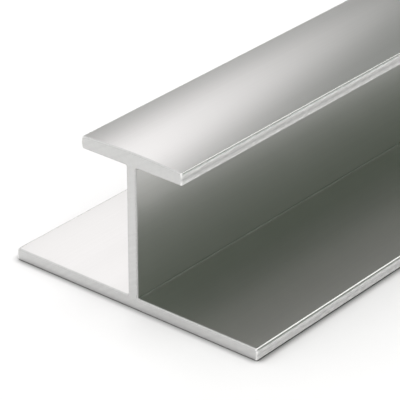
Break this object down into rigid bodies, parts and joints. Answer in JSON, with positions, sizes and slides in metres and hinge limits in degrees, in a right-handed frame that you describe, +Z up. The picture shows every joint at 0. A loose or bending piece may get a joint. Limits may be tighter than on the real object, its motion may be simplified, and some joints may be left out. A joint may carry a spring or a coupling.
{
  "type": "aluminium h-channel",
  "caption": "Straight extruded aluminium H-section with a wide flange, a thin web and a narrower, slightly crowned cover flange, whose opposed slots hold and join the edges of boards.",
  "frame": {"origin": "on the underside of the wide flange, at the middle of its width and of the bar's length", "axes": "+X across the flanges, +Y along the bar, +Z up the web from the wide flange to the narrow one"},
  "size_m": [0.0356, 1, 0.0196],
  "materials": {
    "satin_aluminium": "satin anodised extrusion with fine die lines along its length and sawn, deburred ends"
  },
  "bodies": {
    "root": {"h_channel": "satin_aluminium"}
  },
  "joints": []
}
